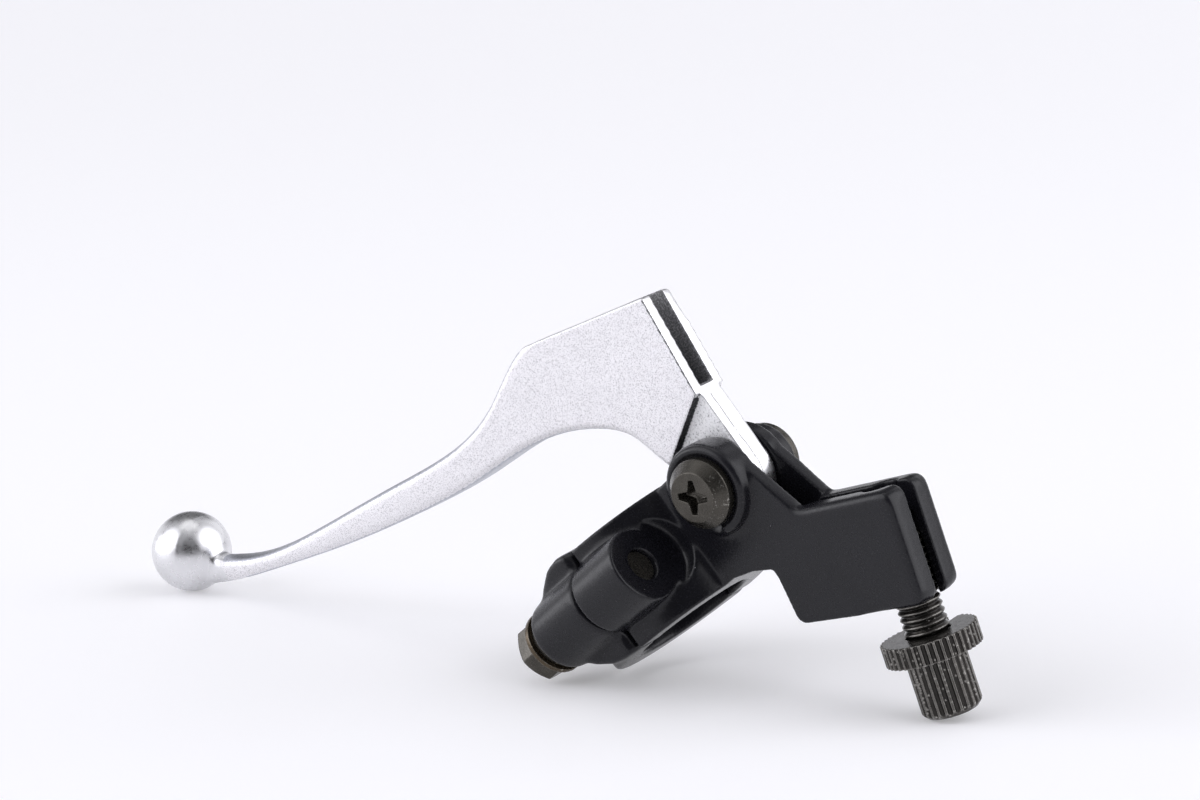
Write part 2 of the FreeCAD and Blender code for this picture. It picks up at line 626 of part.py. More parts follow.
def make_all():
    pieces = [make_perch(), make_cap(), make_lever()]
    screw_stem = [("dims.screw_radius", "dims.upper_seat"),
                  ("dims.screw_radius", "dims.upper_seat - dims.screw_length"),
                  (0, "dims.upper_seat - dims.screw_length")]
    pieces.append(make_pivot_piece("pivot_screw", "dims.upper_seat", False, screw_stem))
    sleeve_stem = [("dims.sleeve_radius", "dims.lower_seat"),
                   ("dims.sleeve_radius", "-dims.sleeve_top"),
                   ("dims.sleeve_bore_radius", "-dims.sleeve_top"),
                   ("dims.sleeve_bore_radius", "dims.sleeve_bore_depth - dims.sleeve_top"),
                   (0, "dims.sleeve_bore_depth - dims.sleeve_top")]
    pieces.append(make_pivot_piece("pivot_nut", "dims.lower_seat", True, sleeve_stem))
    for name, sign in (("upper", ""), ("lower", "-")):
        pieces.append(make_bolt(f"clamp_bolt_{name}", sign))
        pieces.append(make_washer(f"lock_washer_{name}", sign, "dims.cap_boss_end",
                                  "dims.lock_washer_radius", "dims.lock_washer_thickness", True))
        pieces.append(make_washer(f"flat_washer_{name}", sign,
                                  "dims.cap_boss_end + dims.lock_washer_thickness",
                                  "dims.flat_washer_radius", "dims.flat_washer_thickness", False))
    pieces += [make_adjuster(), make_lock_ring()]
    return pieces


def write_parts(pieces):
    doc.recompute()
    for thing in doc.Objects:
        if "Invalid" in thing.State or "Error" in thing.State:
            raise RuntimeError(f"{thing.Label} did not build: {thing.State}")
    os.makedirs("parts", exist_ok=True)
    for piece in pieces:
        if piece.Shape.isNull() or not piece.Shape.isValid():
            raise RuntimeError(f"{piece.Label} has no valid shape")
        piece.Shape.exportStep(f"parts/{piece.Label}.step")
        box = piece.Shape.BoundBox
        print(f"{piece.Label}: {len(piece.Shape.Solids)} solid, {piece.Shape.Volume:.0f} mm3, "
              f"x {box.XMin:.1f} {box.XMax:.1f} y {box.YMin:.1f} {box.YMax:.1f} "
              f"z {box.ZMin:.1f} {box.ZMax:.1f}")


write_parts(make_all())
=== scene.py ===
import bpy
import bmesh
import numpy as np
from mathutils import Matrix, Vector


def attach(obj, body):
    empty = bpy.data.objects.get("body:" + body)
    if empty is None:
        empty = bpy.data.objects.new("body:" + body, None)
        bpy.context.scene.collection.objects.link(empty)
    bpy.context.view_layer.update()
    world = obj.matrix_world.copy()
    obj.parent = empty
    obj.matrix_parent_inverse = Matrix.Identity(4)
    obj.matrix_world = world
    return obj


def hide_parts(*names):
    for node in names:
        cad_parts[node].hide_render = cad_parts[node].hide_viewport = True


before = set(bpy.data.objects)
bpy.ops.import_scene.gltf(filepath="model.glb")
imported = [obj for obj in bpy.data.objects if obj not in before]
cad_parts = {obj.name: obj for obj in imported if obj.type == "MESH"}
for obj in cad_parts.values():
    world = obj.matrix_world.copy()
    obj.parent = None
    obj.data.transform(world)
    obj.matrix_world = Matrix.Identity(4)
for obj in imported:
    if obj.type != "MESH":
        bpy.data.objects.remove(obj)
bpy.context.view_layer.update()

MM = 0.001

# The camera, in the part's frame: where it stands, and its right, up and forward directions.
CAMERA_PLACE = Vector((57.76, 371.39, 411.21)) * MM
CAMERA_RIGHT = Vector((0.57859, 0.54924, -0.60297))
CAMERA_UP = Vector((-0.80014, 0.52559, -0.28903))
CAMERA_FORWARD = Vector((-0.15817, -0.64968, -0.74357))
CAMERA_LENS = 92.71
SENSOR_WIDTH = 36.0
CLIP_NEAR, CLIP_FAR = 0.05, 20.0

# The object rests on the adjuster's end, the ball's edge and the upper bolt's head.
REST_POINTS = [Vector(point) * MM for point in
               ((50.1, 32.1, 1.9), (-59.6, -106.9, 0.9), (5.8, -20.9, 16.4))]

# Places on the part.
PIVOT = Vector((-3.5, 26.5, 0.0)) * MM
BALL_PLACE = PIVOT + Vector((-62.4, -128.3, 0.0)) * MM
TIP_PLACE = PIVOT + Vector((-33.3, 10.6, 0.0)) * MM
CABLE_PLACE = Vector((34.4, 43.1, 0.0)) * MM
CABLE_LINE = Vector((0.9205, -0.3907, 0.0))
BOLT_SPREAD = 16.4 * MM
PIVOT_CLEAR = 6.9 * MM
CABLE_CLEAR = 4.2 * MM
BOLT_CLEAR = 3.3 * MM

# The stage.
FLOOR_HALF = 12.0
FLOOR_COLOUR = (0.765, 0.762, 0.785, 1.0)
FLOOR_GLOW_COLOUR = (1.0, 0.995, 1.0, 1.0)
FLOOR_GLOW = 0.24
FLOOR_ROUGHNESS = 0.6
FLOOR_SPECULAR = 0.2
ROOM_COLOUR = (0.955, 0.955, 1.0, 1.0)
BACKDROP_COLOUR = (0.93, 0.93, 0.965, 1.0)
ROOM_LEVEL = 0.52
LAMP_PLACE = (-0.15, 1.0, 0.1)
LAMP_SIZE = 0.6
LAMP_POWER = 0.9

# Patches of the room with soft edges: each has its direction (right, up, away), the cosines at its outer and
# inner edge, and its value outside and inside. The room is dim in front, and the others add to it or dim it.
DIM_FRONT = ((0.0, 0.20, -1.0), 0.70, 0.84, ROOM_LEVEL, ROOM_LEVEL * 0.16)
ROOM_PATCHES = {
    "horizon": ("ADD", (0.0, 0.12, 0.99), 0.45, 0.75, 0.0, 0.5),
    "dim strip high behind": ("MULTIPLY", (-0.15, 0.60, 0.78), 0.83, 0.93, 1.0, 0.15),
    "left box": ("ADD", (-0.86, 0.48, -0.22), 0.83, 0.94, 0.0, 2.1),
    "left strip": ("ADD", (-0.97, 0.08, 0.22), 0.93, 0.98, 0.0, 2.6),
    "right box": ("ADD", (0.87, 0.44, -0.22), 0.76, 0.90, 0.0, 1.9),
}


def make_camera():
    """The camera looks along -Z of its own axes, so its Z axis is minus the forward direction."""
    data = bpy.data.cameras.new("camera")
    data.sensor_width = SENSOR_WIDTH
    data.lens = CAMERA_LENS
    data.clip_start, data.clip_end = CLIP_NEAR, CLIP_FAR
    camera = bpy.data.objects.new("camera", data)
    bpy.context.collection.objects.link(camera)
    turn = Matrix((CAMERA_RIGHT, CAMERA_UP, -CAMERA_FORWARD)).transposed()
    camera.matrix_world = Matrix.Translation(CAMERA_PLACE) @ turn.to_4x4()
    bpy.context.scene.camera = camera


def floor_normal():
    first, second, third = REST_POINTS
    normal = (second - first).cross(third - first).normalized()
    return normal if normal.dot(CAMERA_UP) > 0 else -normal


FLOOR_UP = floor_normal()
FLOOR_RIGHT = (CAMERA_RIGHT - CAMERA_RIGHT.dot(FLOOR_UP) * FLOOR_UP).normalized()
FLOOR_AWAY = FLOOR_UP.cross(FLOOR_RIGHT)
FLOOR_MIDDLE = sum(REST_POINTS, Vector()) / len(REST_POINTS)


def on_stage(right, up, away):
    """A direction or offset given in the floor's own axes."""
    return right * FLOOR_RIGHT + up * FLOOR_UP + away * FLOOR_AWAY


# --- node helpers -------------------------------------------------------------------------

class Shader:
    """A material with one principled shader and short calls that add nodes to it."""

    def __init__(self, name, metallic):
        self.material = bpy.data.materials.new(name)
        self.material.use_nodes = True
        self.tree = self.material.node_tree
        self.main = self.tree.nodes["Principled BSDF"]
        self.main.inputs["Metallic"].default_value = metallic
        self.place = self.tree.nodes.new("ShaderNodeTexCoord").outputs["Object"]

    def link(self, value, socket):
        if isinstance(value, bpy.types.NodeSocket):
            self.tree.links.new(value, socket)
        elif isinstance(value, tuple):
            socket.default_value = (*value, 1.0)
        else:
            socket.default_value = value

    def set(self, **values):
        for name, value in values.items():
            self.link(value, self.main.inputs[name.replace("_", " ")])

    def noise(self, size, detail, roughness=0.5):
        """Noise from 0 to 1 whose grains are about size metres across."""
        node = self.tree.nodes.new("ShaderNodeTexNoise")
        self.tree.links.new(self.place, node.inputs["Vector"])
        node.inputs["Scale"].default_value = 1.0 / size
        node.inputs["Detail"].default_value = detail
        node.inputs["Roughness"].default_value = roughness
        return node.outputs["Fac"]

    def cells(self, size):
        """Distance from the middle of scattered cells about size metres across."""
        node = self.tree.nodes.new("ShaderNodeTexVoronoi")
        self.tree.links.new(self.place, node.inputs["Vector"])
        node.inputs["Scale"].default_value = 1.0 / size
        return node.outputs["Distance"]

    def ramp(self, value, low, high, low_out=0.0, high_out=1.0):
        """The value's range from low to high, stretched to run from low_out to high_out."""
        node = self.tree.nodes.new("ShaderNodeMapRange")
        node.clamp = True
        self.link(value, node.inputs["Value"])
        limits = (("From Min", low), ("From Max", high), ("To Min", low_out), ("To Max", high_out))
        for name, number in limits:
            node.inputs[name].default_value = number
        return node.outputs["Result"]

    def mix(self, share, first, second):
        """The first colour where the share is 0 and the second where it is 1."""
        node = self.tree.nodes.new("ShaderNodeMix")
        node.data_type = "RGBA"
        colours = [socket for socket in node.inputs if socket.type == "RGBA"]
        self.link(share, node.inputs["Factor"])
        self.link(first, colours[0])
        self.link(second, colours[1])
        return next(socket for socket in node.outputs if socket.type == "RGBA")

    def math(self, kind, first, second=0.0):
        node = self.tree.nodes.new("ShaderNodeMath")
        node.operation = kind
        self.link(first, node.inputs[0])
        self.link(second, node.inputs[1])
        return node.outputs[0]

    def edges(self, low, high):
        """From 0 where the surface is more hollow than low to 1 where it is sharper than high."""
        node = self.tree.nodes.new("ShaderNodeNewGeometry")
        return self.ramp(node.outputs["Pointiness"], low, high)

    def bump(self, height, depth, strength, under=None):
        """Raises the surface by the height, on top of the bump under it."""
        node = self.tree.nodes.new("ShaderNodeBump")
        node.inputs["Strength"].default_value = strength
        node.inputs["Distance"].default_value = depth
        self.link(height, node.inputs["Height"])
        if under is not None:
            self.tree.links.new(under, node.inputs["Normal"])
        self.tree.links.new(node.outputs["Normal"], self.main.inputs["Normal"])
        return node.outputs["Normal"]


# --- materials ----------------------------------------------------------------------------

def black_paint():
    """Satin black paint with a fine orange peel and a few specks of dust."""
    paint = Shader("black_paint", metallic=0.0)
    cloud = paint.noise(9 * MM, 3.0)
    grain = paint.noise(0.45 * MM, 3.0, 0.6)
    dust = paint.ramp(paint.cells(2.3 * MM), 0.030, 0.042, 1.0, 0.0)
    scarce = paint.ramp(paint.noise(3.1 * MM, 1.0), 0.60, 0.66)
    speck = paint.math("MULTIPLY", dust, scarce)
    tone = paint.mix(cloud, (0.006, 0.006, 0.008), (0.010, 0.010, 0.013))
    paint.set(Base_Color=paint.mix(speck, tone, (0.32, 0.32, 0.33)))
    paint.set(Roughness=paint.ramp(grain, 0.25, 0.75, 0.20, 0.31))
    fine = paint.bump(grain, 0.014 * MM, 0.6)
    paint.bump(paint.noise(2.6 * MM, 2.0), 0.10 * MM, 0.5, fine)
    paint.set(Specular_IOR_Level=0.29)
    return paint


def blasted_aluminium():
    """The blade's faces: a fine bright grain with darker pits and scuffs."""
    metal = Shader("blasted_aluminium", metallic=0.8)
    grain = metal.noise(0.24 * MM, 4.0, 0.75)
    pits = metal.ramp(grain, 0.36, 0.50, 1.0, 0.0)
    scuffs = metal.ramp(metal.noise(0.9 * MM, 3.0, 0.7), 0.30, 0.38, 0.5, 0.0)
    tone = metal.mix(metal.noise(6 * MM, 3.0), (0.80, 0.79, 0.81), (0.88, 0.87, 0.89))
    metal.set(Base_Color=metal.mix(metal.math("MAXIMUM", pits, scuffs), tone, (0.42, 0.41, 0.43)))
    metal.set(Roughness=metal.ramp(grain, 0.3, 0.7, 0.62, 0.42))
    metal.bump(grain, 0.03 * MM, 0.7)
    return metal


def polish(metal):
    """The uneven gloss that polishing by hand leaves."""
    return metal.ramp(metal.noise(0.9 * MM, 3.0), 0.3, 0.7, 0.25, 0.36)


def polished_aluminium(name="polished_aluminium", colour=(0.82, 0.82, 0.83)):
    metal = Shader(name, metallic=1.0)
    metal.set(Base_Color=colour, Roughness=polish(metal))
    metal.bump(metal.noise(2.2 * MM, 2.0), 0.025 * MM, 0.5)
    return metal


def satin_aluminium():
    """The ball, which is a little greyer than the other polished metal."""
    return polished_aluminium("satin_aluminium", (0.72, 0.72, 0.735))


def parted_aluminium():
    """The hub's polished rim, with the fine line that the two halves of the mould left along it."""
    metal = Shader("parted_aluminium", metallic=1.0)
    metal.set(Roughness=polish(metal))
    split = metal.tree.nodes.new("ShaderNodeSeparateXYZ")
    metal.tree.links.new(metal.place, split.inputs[0])
    wander = metal.ramp(metal.noise(3 * MM, 3.0), 0.0, 1.0, 0.1 * MM, 1.3 * MM)
    off = metal.math("ABSOLUTE", metal.math("SUBTRACT", split.outputs["Z"], wander))
    line = metal.ramp(off, 0.06 * MM, 0.16 * MM, 1.0, 0.0)
    broken = metal.math("MULTIPLY", line, metal.ramp(metal.noise(1.5 * MM, 2.0), 0.34, 0.46))
    metal.set(Base_Color=metal.mix(broken, (0.80, 0.80, 0.81), (0.20, 0.20, 0.20)))
    metal.bump(broken, 0.05 * MM, -1.0)
    return metal


def coarse_aluminium(name, metallic, grain, share, dark, light, roughness, bump):
    """Cast metal whose grain shows as lighter and darker spots, duller where it is low."""
    metal = Shader(name, metallic)
    grain = metal.noise(*grain)
    metal.set(Base_Color=metal.mix(metal.ramp(grain, *share), dark, light))
    metal.set(Roughness=metal.ramp(grain, 0.3, 0.7, *roughness))
    metal.bump(grain, *bump)
    return metal


def rough_aluminium():
    """The hub's faces beside the ears, as they came from the mould."""
    return coarse_aluminium("rough_aluminium", 0.9, (0.35 * MM, 4.0, 0.75), (0.30, 0.48),
                            (0.22, 0.22, 0.23), (0.80, 0.80, 0.81), (0.6, 0.35), (0.09 * MM, 1.0))


def painted_shade_aluminium():
    """Painted shade on the inside of the wire slot and on the blade's edge beside it: a dull, dark copy of
    the cast metal.
    """
    return coarse_aluminium("painted_shade_aluminium", 0.4, (0.35 * MM, 4.0, 0.7), (0.46, 0.66),
                            (0.13, 0.13, 0.135), (0.42, 0.42, 0.43), (0.7, 0.5), (0.06 * MM, 0.8))


def painted_corner_shade_aluminium():
    """Painted shade: near-black colour on the wall in the inner corner where the blade steps down to the
    hub's web.
    """
    return coarse_aluminium("painted_corner_shade_aluminium", 0.2, (0.4 * MM, 3.0, 0.7), (0.50, 0.70),
                            (0.020, 0.020, 0.022), (0.14, 0.14, 0.15), (0.7, 0.5), (0.05 * MM, 0.7))


def painted_reflection_and_shade_aluminium():
    """The arm's edges, greyer than the polished metal: a painted dark reflection along the outer edge and
    painted shade along the inner edge.
    """
    return coarse_aluminium("painted_reflection_and_shade_aluminium", 1.0, (0.5 * MM, 3.0, 0.6), (0.30, 0.55),
                            (0.36, 0.37, 0.41), (0.52, 0.53, 0.58), (0.46, 0.34), (0.02 * MM, 0.6))


def plain_steel(name):
    """Dark steel before it has a colour, with the faint grain of its surface."""
    metal = Shader(name, metallic=0.8)
    grain = metal.noise(0.6 * MM, 3.0, 0.6)
    metal.bump(grain, 0.008 * MM, 0.6)
    return metal, grain


def mottled(metal, dark, light):
    return metal.mix(metal.noise(2.5 * MM, 3.0), dark, light)


def dark_steel(name="dark_steel", dark=(0.040, 0.037, 0.032), light=(0.110, 0.102, 0.088)):
    """Blackened steel, chipped here and there, with painted shade in its hollows and its outer edges
    lighter, partly from wear and partly as a painted highlight.
    """
    metal, grain = plain_steel(name)
    # Painted shade: near black in the hollows.
    tone = metal.mix(metal.edges(0.42, 0.495), (0.006, 0.006, 0.005), mottled(metal, dark, light))
    chips = metal.ramp(metal.noise(0.45 * MM, 2.0), 0.76, 0.82, 0.0, 0.6)
    patchy_strength = metal.ramp(grain, 0.38, 0.58, 0.15, 0.85)
    # Partly wear and partly a painted highlight: lighter on the sharp edges, unevenly along the grain.
    wear_and_painted_highlight = metal.math("MULTIPLY", metal.edges(0.52, 0.60), patchy_strength)
    metal.set(Base_Color=metal.mix(metal.math("MAXIMUM", chips, wear_and_painted_highlight), tone, (0.36, 0.35, 0.32)))
    metal.set(Roughness=metal.ramp(grain, 0.3, 0.7, 0.20, 0.34))
    return metal


def brown_washer():
    return dark_steel("brown_washer", (0.055, 0.042, 0.028), (0.12, 0.092, 0.060))


def knurled_steel():
    """The adjuster and its ring: glossier, with painted shade in the valleys and the ridges lighter, partly
    from wear and partly as a painted highlight.
    """
    metal, _ = plain_steel("knurled_steel")
    grain = metal.noise(0.9 * MM, 3.0, 0.6)
    tone = mottled(metal, (0.030, 0.028, 0.025), (0.080, 0.074, 0.066))
    # Painted shade: near black in the valleys between the ridges.
    tone = metal.mix(metal.edges(0.455, 0.505), (0.004, 0.004, 0.004), tone)
    # Partly wear and partly a painted highlight: lighter along the ridges, unevenly along the grain.
    wear_and_painted_highlight = metal.math("MULTIPLY", metal.edges(0.505, 0.560), metal.ramp(grain, 0.35, 0.60, 0.45, 1.0))
    metal.set(Base_Color=metal.mix(wear_and_painted_highlight, tone, (0.30, 0.29, 0.27)))
    metal.set(Roughness=metal.ramp(grain, 0.3, 0.7, 0.16, 0.28))
    return metal


def turned_steel():
    """The screw, whose turning marks draw its reflections out across its head."""
    metal, grain = plain_steel("turned_steel")
    tone = mottled(metal, (0.050, 0.046, 0.040), (0.085, 0.079, 0.068))
    # Painted highlight: lighter on the sharp rims of the head.
    metal.set(Base_Color=metal.mix(metal.edges(0.58, 0.68), tone, (0.24, 0.23, 0.21)))
    metal.set(Roughness=metal.ramp(grain, 0.3, 0.7, 0.20, 0.34))
    marks = metal.tree.nodes.new("ShaderNodeTangent")
    marks.direction_type = "RADIAL"
    marks.axis = "Z"
    metal.set(Tangent=marks.outputs["Tangent"], Anisotropic=0.75)
    return metal


MATERIALS = {make.__name__: make().material for make in
             (black_paint, blasted_aluminium, polished_aluminium, satin_aluminium, parted_aluminium,
              rough_aluminium, painted_shade_aluminium, painted_corner_shade_aluminium, painted_reflection_and_shade_aluminium, dark_steel,
              brown_washer, knurled_steel, turned_steel)}


# --- pieces -------------------------------------------------------------------------------

def recast(node, voxel, rounds, name):
    """A copy of a CAD node's shape with its edges and inner corners softened, as a casting has."""
    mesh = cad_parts[node].data.copy()
    mesh.materials.clear()
    welded = bmesh.new()
    welded.from_mesh(mesh)
    bmesh.ops.remove_doubles(welded, verts=welded.verts, dist=0.001 * MM)
    welded.to_mesh(mesh)
    welded.free()
    mesh.validate()
    piece = bpy.data.objects.new(name, mesh)
    bpy.context.collection.objects.link(piece)
    remesh = piece.modifiers.new("remesh", "REMESH")
    remesh.mode = "VOXEL"
    remesh.voxel_size = voxel
    remesh.use_smooth_shade = True
    smooth = piece.modifiers.new("smooth", "SMOOTH")
    smooth.factor = STEP
    smooth.iterations = rounds
    graph = bpy.context.evaluated_depsgraph_get()
    result = bpy.data.meshes.new_from_object(piece.evaluated_get(graph))
    piece.modifiers.clear()
    piece.data = result
    result.name = name
    result.shade_smooth()
    return piece


# The share of the way that one round moves a point, and how softly the untouched holes begin.
STEP = 0.5
HOLE_BLEND = 0.5 * MM


def rising(values, start, width):
    """0 below the start, rising evenly to 1 over the width after it."""
    return np.clip((values - start) / width, 0.0, 1.0)


class Soft:
    """A mesh's points and edges as arrays, for moving the points in steps."""

    def __init__(self, piece):
        self.mesh = piece.data
        count, edges = len(self.mesh.vertices), len(self.mesh.edges)
        self.points = np.empty(count * 3)
        self.mesh.vertices.foreach_get("co", self.points)
        self.points = self.points.reshape(-1, 3)
        ends = np.empty(edges * 2, dtype=np.int64)
        self.mesh.edges.foreach_get("vertices", ends)
        ends = ends.reshape(-1, 2)
        self.starts = np.concatenate((ends[:, 0], ends[:, 1]))
        self.stops = np.concatenate((ends[:, 1], ends[:, 0]))
        self.degree = np.maximum(np.bincount(self.starts, minlength=count), 1)
        normals = np.empty(count * 3)
        self.mesh.vertices.foreach_get("normal", normals)
        self.normals = normals.reshape(-1, 3)

    def from_place(self, place):
        """The points measured from a place, in millimetres."""
        return (self.points - np.array(place)) / MM

    def pull(self):
        """For every point, the way to the middle of its neighbours."""
        middle = np.column_stack([
            np.bincount(self.starts, self.points[self.stops, axis], len(self.points)) / self.degree
            for axis in range(3)])
        return middle - self.points

    def fill_hollows(self, rounds, where):
        """Moves points only outward, where the surface is hollow, so inner corners get a fillet."""
        for _ in range(rounds):
            outward = np.maximum(np.einsum("ij,ij->i", self.pull(), self.normals), 0.0)
            self.points += STEP * (outward * where)[:, None] * self.normals

    def relax(self, rounds, where):
        """Moves points toward their neighbours, so every corner gets rounder."""
        for _ in range(rounds):
            self.points += STEP * where[:, None] * self.pull()

    def far_from(self, place, direction, radius):
        """0 for points within the radius of a line, rising to 1 just outside it."""
        offset = self.points - np.array(place)
        direction = np.array(direction)
        along = offset @ direction
        distance = np.linalg.norm(offset - along[:, None] * direction, axis=1)
        return rising(distance, radius, HOLE_BLEND)

    def done(self):
        self.mesh.vertices.foreach_set("co", self.points.ravel())
        self.mesh.update()


def stand_for(piece, node, body):
    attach(piece, body)
    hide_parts(node)


def wear(piece, *names):
    piece.data.materials.clear()
    for name in names:
        piece.data.materials.append(MATERIALS[name])


# How the castings are softened. Lengths are in millimetres unless they carry MM.
CASTING_VOXEL = 0.3 * MM
PERCH_ROUNDS, CAP_ROUNDS, LEVER_ROUNDS = 7, 14, 4
HOLLOW_ROUNDS = 36
BLOCK_START, BLOCK_BLEND, BLOCK_ROUNDS = 36.0, 4.0, 45
SLOT_KEEP, SLOT_BLEND = 3.6, 1.0
BORE_KEEP, BORE_BLEND, RIM_ROUNDS = 12.5, 1.5, 24
NECK_REACH, NECK_HALF, NECK_ROUNDS = 9.5, 3.5, 60
NECK_TO_ARM, NECK_START = (0.62, 0.78, 0.0), 3.0
ARM_START, ARM_BLEND, ARM_ROUNDS = 40.0, 25.0, 24
BALL_KEEP = 8.6
TIP_CORE, TIP_BLEND, TIP_ROUNDS = 3.0, 4.0, 30
TIP_FAR_SIDE = -2.2


def fillet_casting(piece):
    """Fillets the inner corners of a casting, away from the holes that are drilled in it."""
    soft = Soft(piece)
    where = (soft.far_from(PIVOT, (0, 0, 1), PIVOT_CLEAR)
             * soft.far_from(CABLE_PLACE, CABLE_LINE, CABLE_CLEAR))
    for side in (1, -1):
        where *= soft.far_from((0, 0, side * BOLT_SPREAD), (0, 1, 0), BOLT_CLEAR)
    soft.fill_hollows(HOLLOW_ROUNDS, where)
    return soft, where


def make_perch():
    """The perch, whose cable block has rounder corners than the rest, except along its slot."""
    perch = recast("perch_body", CASTING_VOXEL, PERCH_ROUNDS, "perch_casting")
    soft, where = fillet_casting(perch)
    block = rising(soft.points[:, 1] / MM, BLOCK_START, BLOCK_BLEND)
    cheeks = rising(np.abs(soft.points[:, 2]) / MM, SLOT_KEEP, SLOT_BLEND)
    soft.relax(BLOCK_ROUNDS, block * cheeks * where)
    soft.done()
    wear(perch, "black_paint")
    stand_for(perch, "perch_body", "perch")


def make_cap():
    """The cap, rounded everywhere except in its bore."""
    cap = recast("clamp_cap", CASTING_VOXEL, CAP_ROUNDS, "clamp_cap_casting")
    soft, where = fillet_casting(cap)
    from_bore_axis = np.hypot(soft.points[:, 1], soft.points[:, 2]) / MM
    soft.relax(RIM_ROUNDS, rising(from_bore_axis, BORE_KEEP, BORE_BLEND) * where)
    soft.done()
    wear(cap, "black_paint")
    stand_for(cap, "clamp_cap", "perch")


LEVER_MATERIALS = ("blasted_aluminium", "polished_aluminium", "rough_aluminium", "painted_shade_aluminium",
                   "parted_aluminium", "painted_corner_shade_aluminium", "painted_reflection_and_shade_aluminium", "satin_aluminium")

# Which way the wall faces where the blade steps down to the hub, and which way the arm's outer edge does.
STEP_WALL_FACES = Vector((0.914, 0.406, 0.0))
ARM_OUTER_FACES = Vector((-0.95, 0.31, 0.0))

# Limits of the lever's zones, in millimetres from the pivot.
SLOT_X = (-48.0, -15.2)
SLOT_HALF = 1.95
# Where the blade's edge beside the wire slot gets painted shade.
PAINTED_SHADE_EDGE_X = (-33.0, -14.0)
PAINTED_SHADE_EDGE_Y = 4.0
STEP_WALL_X = (-15.5, -7.0)
STEP_WALL_Y = 7.0
STEP_WALL_Z = 2.9
HUB_X, HUB_Y, HUB_HALF = -15.0, -9.0, 3.3
BALL_Y = -121.0
# Where the arm's outer edge gets a painted dark reflection and its inner edge painted shade.
OUTER_PAINTED_REFLECTION_Y = (-120.0, -20.0)
INNER_PAINTED_SHADE_Y = (-117.0, -8.0)


def slot_bottom(x):
    return 2.6 - 0.15 * (x + 24.0)


def lever_zone(place, normal):
    """The material that covers a spot on the lever."""
    x, y, z = (place - PIVOT) / MM
    depth = abs(z)
    tilt = abs(normal.z)
    outward = normal.dot(ARM_OUTER_FACES)
    # Painted shade: the inside of the wire slot and the blade's edge beside it.
    if SLOT_X[0] < x < SLOT_X[1] and depth < SLOT_HALF and y > slot_bottom(x):
        return "painted_shade_aluminium"
    if PAINTED_SHADE_EDGE_X[0] < x < PAINTED_SHADE_EDGE_X[1] and y > PAINTED_SHADE_EDGE_Y and normal.y > 0.25 and tilt > 0.3:
        return "painted_shade_aluminium"
    # Painted shade on the wall in the inner corner where the blade steps down to the hub.
    on_step = STEP_WALL_X[0] < x < STEP_WALL_X[1] and y < STEP_WALL_Y and depth > STEP_WALL_Z
    if on_step and normal.dot(STEP_WALL_FACES) > 0.35:
        return "painted_corner_shade_aluminium"
    if x > HUB_X and y > HUB_Y and depth < HUB_HALF:
        return "rough_aluminium" if tilt > 0.6 else "parted_aluminium"
    # Painted dark reflection along the arm's outer edge.
    if OUTER_PAINTED_REFLECTION_Y[0] < y < OUTER_PAINTED_REFLECTION_Y[1] and tilt < 0.78 and outward > 0.3:
        return "painted_reflection_and_shade_aluminium"
    # Painted shade along the arm's inner edge.
    if INNER_PAINTED_SHADE_Y[0] < y < INNER_PAINTED_SHADE_Y[1] and tilt < 0.60 and outward < -0.3:
        return "painted_reflection_and_shade_aluminium"
    if y < BALL_Y:
        return "satin_aluminium"
    return "polished_aluminium" if tilt < 0.66 else "blasted_aluminium"


def make_lever():
    """The lever, with a fillet where the arm meets the ball, a rounder arm and a rounder far tip."""
    lever = recast("lever_blade", CASTING_VOXEL, LEVER_ROUNDS, "lever_casting")
    soft = Soft(lever)
    from_ball = soft.from_place(BALL_PLACE)
    reach = np.linalg.norm(from_ball, axis=1)
    toward_arm = from_ball @ np.array(NECK_TO_ARM)
    neck = 1.0 - rising(np.abs(reach - NECK_REACH), 0.0, NECK_HALF)
    soft.relax(NECK_ROUNDS, neck * (toward_arm > NECK_START))
    arm = rising(-soft.from_place(PIVOT)[:, 1], ARM_START, ARM_BLEND)
    soft.relax(ARM_ROUNDS, arm * (reach > BALL_KEEP))
    from_tip = soft.from_place(TIP_PLACE)
    near_tip = 1.0 - rising(np.hypot(from_tip[:, 0], from_tip[:, 1]), TIP_CORE, TIP_BLEND)
    soft.relax(TIP_ROUNDS, near_tip * (from_tip[:, 2] < TIP_FAR_SIDE))
    soft.done()
    wear(lever, *LEVER_MATERIALS)
    for face in lever.data.polygons:
        face.material_index = LEVER_MATERIALS.index(lever_zone(face.center, face.normal))
    stand_for(lever, "lever_blade", "lever")


# Each steel piece: its body, its voxel in millimetres, its rounds of smoothing and its material.
STEEL_PIECES = {
    "pivot_screw": ("perch", 0.10, 7, "turned_steel"),
    "pivot_nut": ("perch", 0.15, 4, "dark_steel"),
    "clamp_bolt_upper": ("perch", 0.16, 4, "dark_steel"),
    "clamp_bolt_lower": ("perch", 0.16, 4, "dark_steel"),
    "lock_washer_upper": ("perch", 0.16, 3, "dark_steel"),
    "lock_washer_lower": ("perch", 0.16, 3, "dark_steel"),
    "flat_washer_upper": ("perch", 0.16, 3, "brown_washer"),
    "flat_washer_lower": ("perch", 0.16, 3, "brown_washer"),
    "cable_adjuster": ("adjuster", 0.13, 1, "knurled_steel"),
    "lock_ring": ("ring", 0.13, 1, "knurled_steel"),
}


def make_steel_pieces():
    for node, (body, voxel, rounds, material) in STEEL_PIECES.items():
        piece = recast(node, voxel * MM, rounds, node + "_steel")
        wear(piece, material)
        stand_for(piece, node, body)


# --- stage --------------------------------------------------------------------------------

